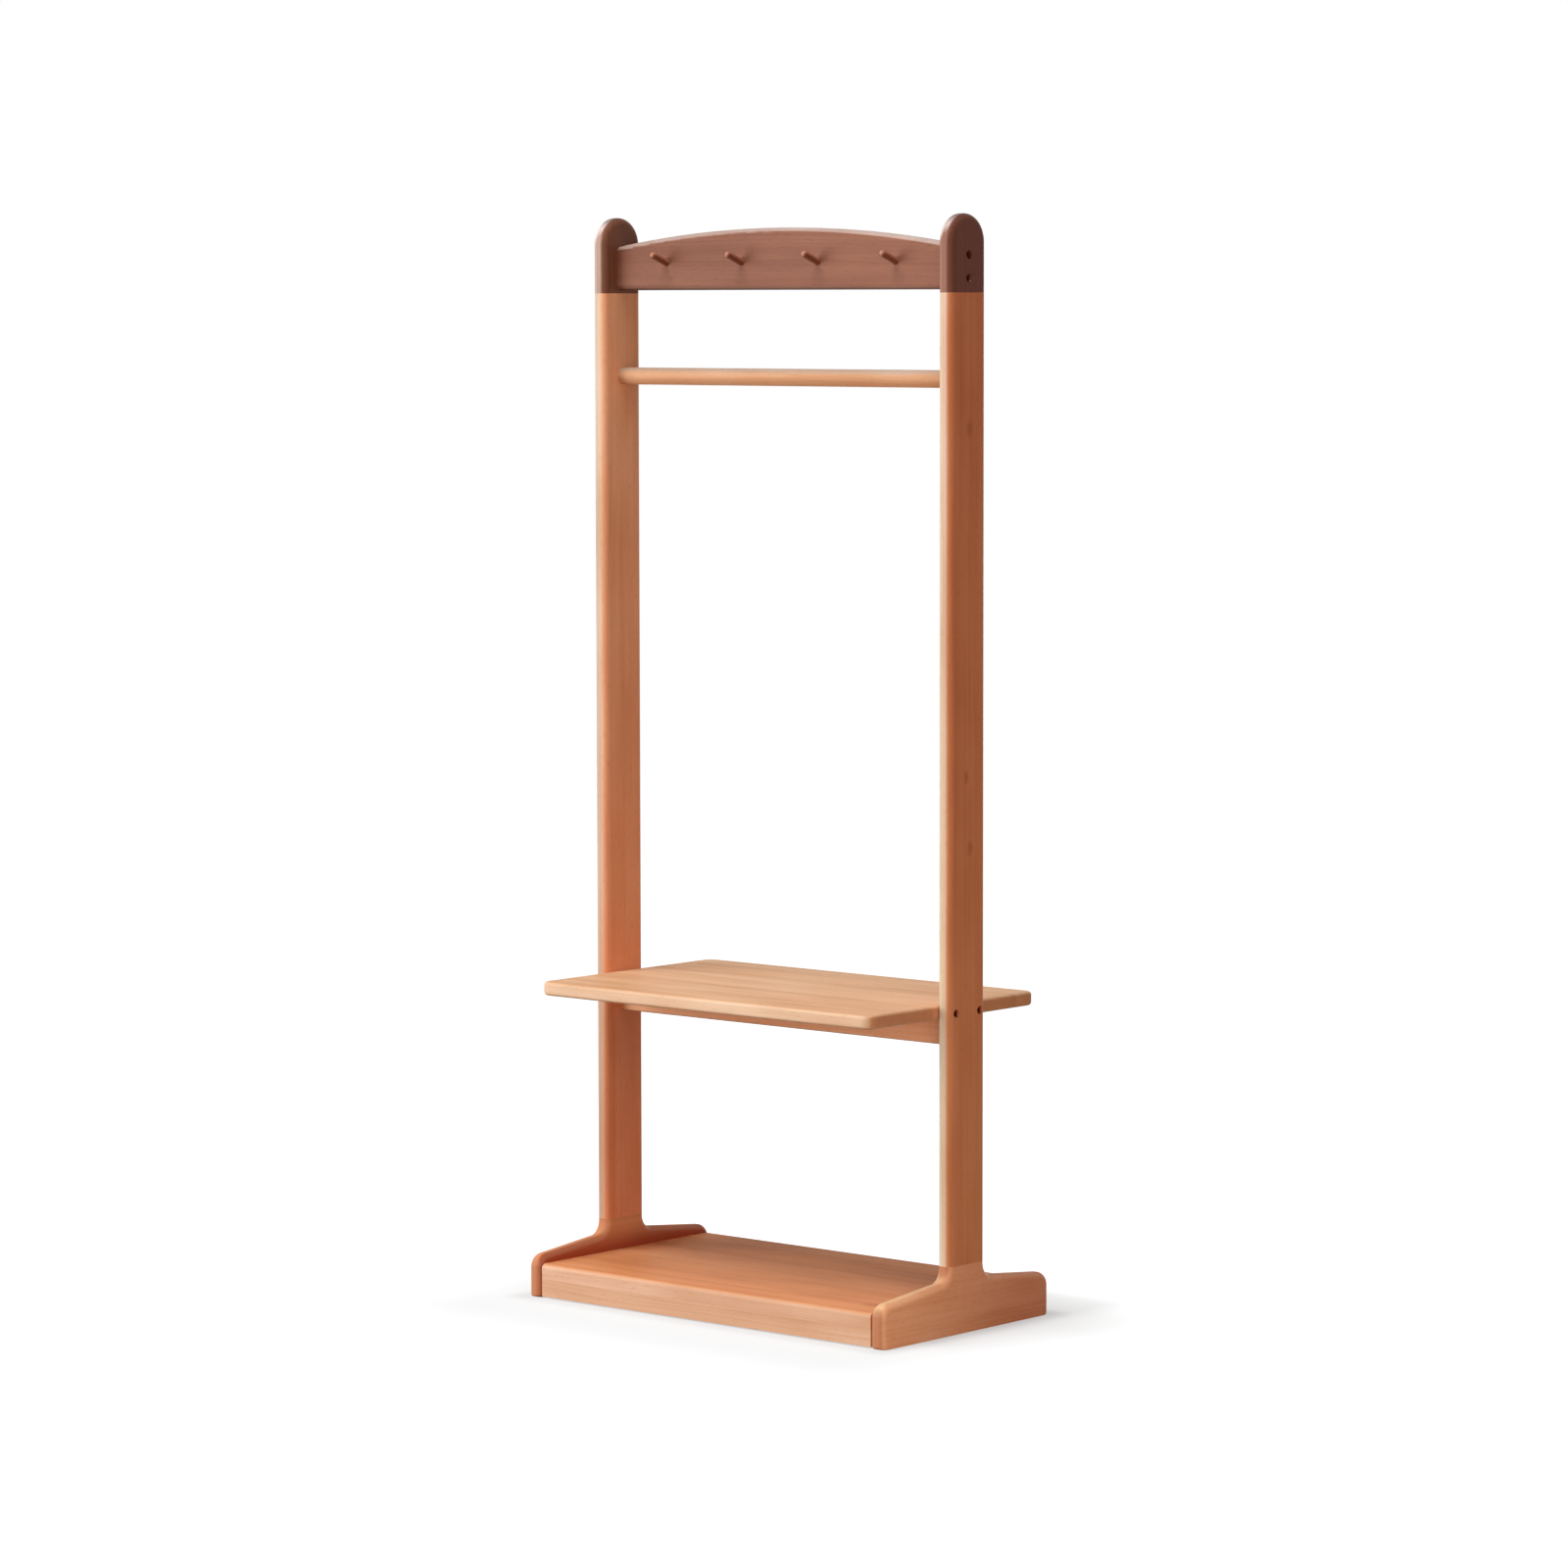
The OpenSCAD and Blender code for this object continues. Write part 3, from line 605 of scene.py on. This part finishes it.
BIRCH = {
    "dark": "#CDA878",
    "plain": "#DABA8C",
    "pale": "#E4C99F",
    # the edge tone is what worn arrises, with their painted highlight, turn to
    "edge": "#E6CDA6",
    "end": "#B8925F",
    "fleck": "#B58E5F",
}
BARE = 0.62  # roughness of sanded wood without a finish
DOWEL_LINES = {
    "foot_dowels": "Z",
    "cap_dowels": "Z",
    "shelf_rail_dowels": "X",
    "apron_dowels": "X",
}

for number, hand in enumerate(("left", "right")):
    node = hand + "_batten"
    dress(node, timber_material(node + "_bare_birch", BIRCH, node, along="Y", across="X",
                                heart=(-40.0, 50.0), roughness=BARE, seed=21.0 + 2.2 * number))
    for joint, line in DOWEL_LINES.items():
        node = f"{hand}_{joint}"
        dress(node, timber_material(node + "_bare_birch", BIRCH, node, along=line,
                                    across="Y", heart=(-12.0, 9.0), ring=2.0, roughness=BARE,
                                    seed=24.0 + 2.2 * number))


# BOLTS
# Socket-head cap bolts of steel with an antique bronze finish: a thin, dark brown skin
# with a redder metal where a key has rubbed the socket.

WORN = {"From Min": 0.52, "From Max": 0.70, "To Max": 0.5}  # where, and how strongly
PATCHES = 6  # how much larger the worn patches are than the grit
GLOSSIER, DULLER = 0.08, 0.10  # how far the grit moves the roughness, either way
GRIT = {"From Min": 0.3, "From Max": 0.7}
GRIT_RELIEF = {"Strength": 0.15, "Distance": 0.0001}  # the distance in metres


def plated_steel(name, base, worn, roughness, grit):
    """Steel under a thin skin, worn in patches. grit is the size of its fine mottle, in
    millimetres."""
    material, tree, surface = empty_material(name)
    where = add(tree, "TexCoord").outputs["Object"]
    place = add(tree, "VectorMath", {0: where, 1: (MM,) * 3}, operation="MULTIPLY")
    fine = add(tree, "TexNoise", {"Vector": place, "Scale": 1 / grit, "Detail": 3.0})
    broad = add(tree, "TexNoise", {"Vector": place, "Scale": 1 / (PATCHES * grit),
                                   "Detail": 2.0})
    patch = add(tree, "MapRange", {"Value": broad, **WORN}, **SMOOTH)
    colour = add(tree, "Mix", {0: patch, 6: linear(base), 7: linear(worn)}, **COLOURS)
    rough = add(tree, "MapRange", {"Value": fine, "To Min": roughness - GLOSSIER,
                                   "To Max": roughness + DULLER, **GRIT})
    bump = add(tree, "Bump", {"Height": fine, **GRIT_RELIEF})
    shader = add(tree, "BsdfPrincipled", {"Base Color": colour, "Metallic": 1.0,
                                          "Roughness": rough, "Normal": bump})
    tree.links.new(shader.outputs[0], surface)
    return material


bronzed_steel = plated_steel("antique_bronzed_steel", base="#643420", worn="#844A2E",
                             roughness=0.45, grit=0.35)
for hand in ("left", "right"):
    for joint in ("rail", "shelf"):
        dress(f"{hand}_{joint}_bolts", bronzed_steel)


# BARREL NUTS AND WOOD SCREWS
# Turned and rolled steel, plated with bright zinc: pale, faintly blue, with a fine
# crystalline mottle.

zinc_steel = plated_steel("bright_zinc_steel", base="#B4B8BA", worn="#8E9294",
                          roughness=0.30, grit=0.5)
for hand in ("left", "right"):
    for joint in ("rail", "shelf"):
        dress(f"{hand}_{joint}_nuts", zinc_steel)
    dress(f"{hand}_batten_screws", zinc_steel)
dress("shelf_rail_screws", zinc_steel)


# STUDIO
# A white floor with a painted shadow round the rack, that runs out to a white background,
# a large soft light overhead, a key light low on the left, a weak fill on the right, a weak
# light behind, a small card beside the right foot, and a faint warm light all round.

FLOOR_RADIUS = 7.0
FLOOR_SIDES = 96
# The floor's painted shadow, as dips in its glow: how deep each is, how far it reaches,
# and how far it lies to the rear
FLOOR_PAINTED_SHADOWS = [(0.32, 0.30, -0.08), (0.15, 0.035, 0.0), (0.12, 0.06, 0.085)]
WHITE = (1, 1, 1, 1)

ring = bmesh.new()
bmesh.ops.create_circle(ring, cap_ends=True, segments=FLOOR_SIDES, radius=FLOOR_RADIUS)
floor_mesh = bpy.data.meshes.new("studio_floor")
ring.to_mesh(floor_mesh)
ring.free()
floor = bpy.data.objects.new("studio_floor", floor_mesh)
bpy.context.scene.collection.objects.link(floor)


def seen_directly(tree):
    """1 for rays that show the background itself: from the camera, or through a gloss."""
    path = add(tree, "LightPath").outputs
    seen = add(tree, "Math", {0: path["Is Camera Ray"], 1: path["Is Glossy Ray"]},
               operation="MAXIMUM")
    return add(tree, "Math", {0: seen, 1: path["Is Transmission Ray"]}, operation="MAXIMUM")


paper, tree, surface = empty_material("white_floor")
where = add(tree, "TexCoord").outputs["Object"]
glow = 1.0
# each dip in the glow is a painted shadow round the rack's footprint
for depth, width, rearwards in FLOOR_PAINTED_SHADOWS:
    reach = add(tree, "VectorMath", {0: where, 1: (0, rearwards, 0)}, operation="SUBTRACT")
    reach = add(tree, "VectorMath", {0: reach}, operation="ABSOLUTE")
    reach = add(tree, "VectorMath", {0: reach, 1: (*cad_box[1][:2], 0)}, operation="SUBTRACT")
    reach = add(tree, "VectorMath", {0: reach, 1: (0, 0, 0)}, operation="MAXIMUM")
    reach = add(tree, "VectorMath", {0: reach}, operation="LENGTH")
    shade = add(tree, "MapRange", {"Value": reach, "From Max": width, "To Min": depth,
                                   "To Max": 0.0}, **SMOOTH)
    glow = add(tree, "Math", {0: glow, 1: shade}, operation="SUBTRACT")
matt = add(tree, "BsdfDiffuse", {"Color": linear("#9A9D9F")})
light = add(tree, "Emission", {"Color": WHITE, "Strength": glow})
shown = add(tree, "AddShader", {0: matt, 1: light})
bounce = add(tree, "BsdfDiffuse", {"Color": linear("#A48E7E")})
mixed = add(tree, "MixShader", {0: seen_directly(tree), 1: bounce, 2: shown})
tree.links.new(mixed.outputs[0], surface)
floor_mesh.materials.append(paper)

world = bpy.data.worlds.new("studio")
bpy.context.scene.world = world
world.use_nodes = True
tree = world.node_tree
tree.nodes.clear()
around = add(tree, "Background", {"Color": linear("#FFEBDC"), "Strength": 0.03})
backdrop = add(tree, "Background", {"Color": WHITE, "Strength": 1.0})
mixed = add(tree, "MixShader", {0: seen_directly(tree), 1: around, 2: backdrop})
add(tree, "OutputWorld", {"Surface": mixed})


def soft_light(name, turn, rise, distance, size, watts, colour="#FFFFFF", height=0.65):
    """A square soft light that faces the rack's axis at a height. turn is in degrees from
    the front towards the right, and rise in degrees above the level of that height."""
    lamp = bpy.data.lights.new(name, "AREA")
    lamp.shape = "SQUARE"
    lamp.size = size
    lamp.energy = watts
    lamp.color = linear(colour)[:3]
    stand = bpy.data.objects.new(name, lamp)
    bpy.context.scene.collection.objects.link(stand)
    turn, rise = math.radians(turn), math.radians(rise)
    towards = Vector((math.sin(turn) * math.cos(rise), -math.cos(turn) * math.cos(rise),
                      math.sin(rise)))
    stand.location = Vector((0, 0, height)) + distance * towards
    stand.rotation_euler = towards.to_track_quat("Z", "Y").to_euler()


soft_light("top_light", turn=-5, rise=68, distance=3.2, size=1.8, watts=69.0)
soft_light("key_light", turn=-42, rise=8, distance=3.0, size=2.2, watts=71.0)
soft_light("fill_light", turn=60, rise=8, distance=2.5, size=1.4, watts=18.0, colour="#FFF0E2")
soft_light("back_light", turn=180, rise=4, distance=3.0, size=1.2, watts=13.0)
soft_light("foot_card", turn=64, rise=0, distance=0.85, size=0.16, watts=0.36, height=0.09)


# CAMERA
# A long lens at the height of the top rail, to the right of the front and tipped a
# little down, as in the photograph of 1600 x 1600 pixels.

PHOTO_SIDE = 1600  # pixels
FOCAL_LENGTH = 5737.84  # pixels
TURN, DIP, ROLL = 0.7083, 0.0860, -0.0016  # radians
STANDPOINT = (4.20198, -4.90836, 1.16485)

lens = bpy.data.cameras.new("camera")
lens.sensor_width = 36.0  # millimetres
lens.lens = FOCAL_LENGTH * lens.sensor_width / PHOTO_SIDE
lens.clip_start, lens.clip_end = 0.1, 100.0
camera = bpy.data.objects.new("camera", lens)
bpy.context.scene.collection.objects.link(camera)
camera.matrix_world = (Matrix.Translation(STANDPOINT) @ Matrix.Rotation(TURN, 4, "Z")
                       @ Matrix.Rotation(math.pi / 2 - DIP, 4, "X")
                       @ Matrix.Rotation(ROLL, 4, "Z"))
bpy.context.scene.camera = camera
bpy.context.scene.view_settings.view_transform = "Standard"
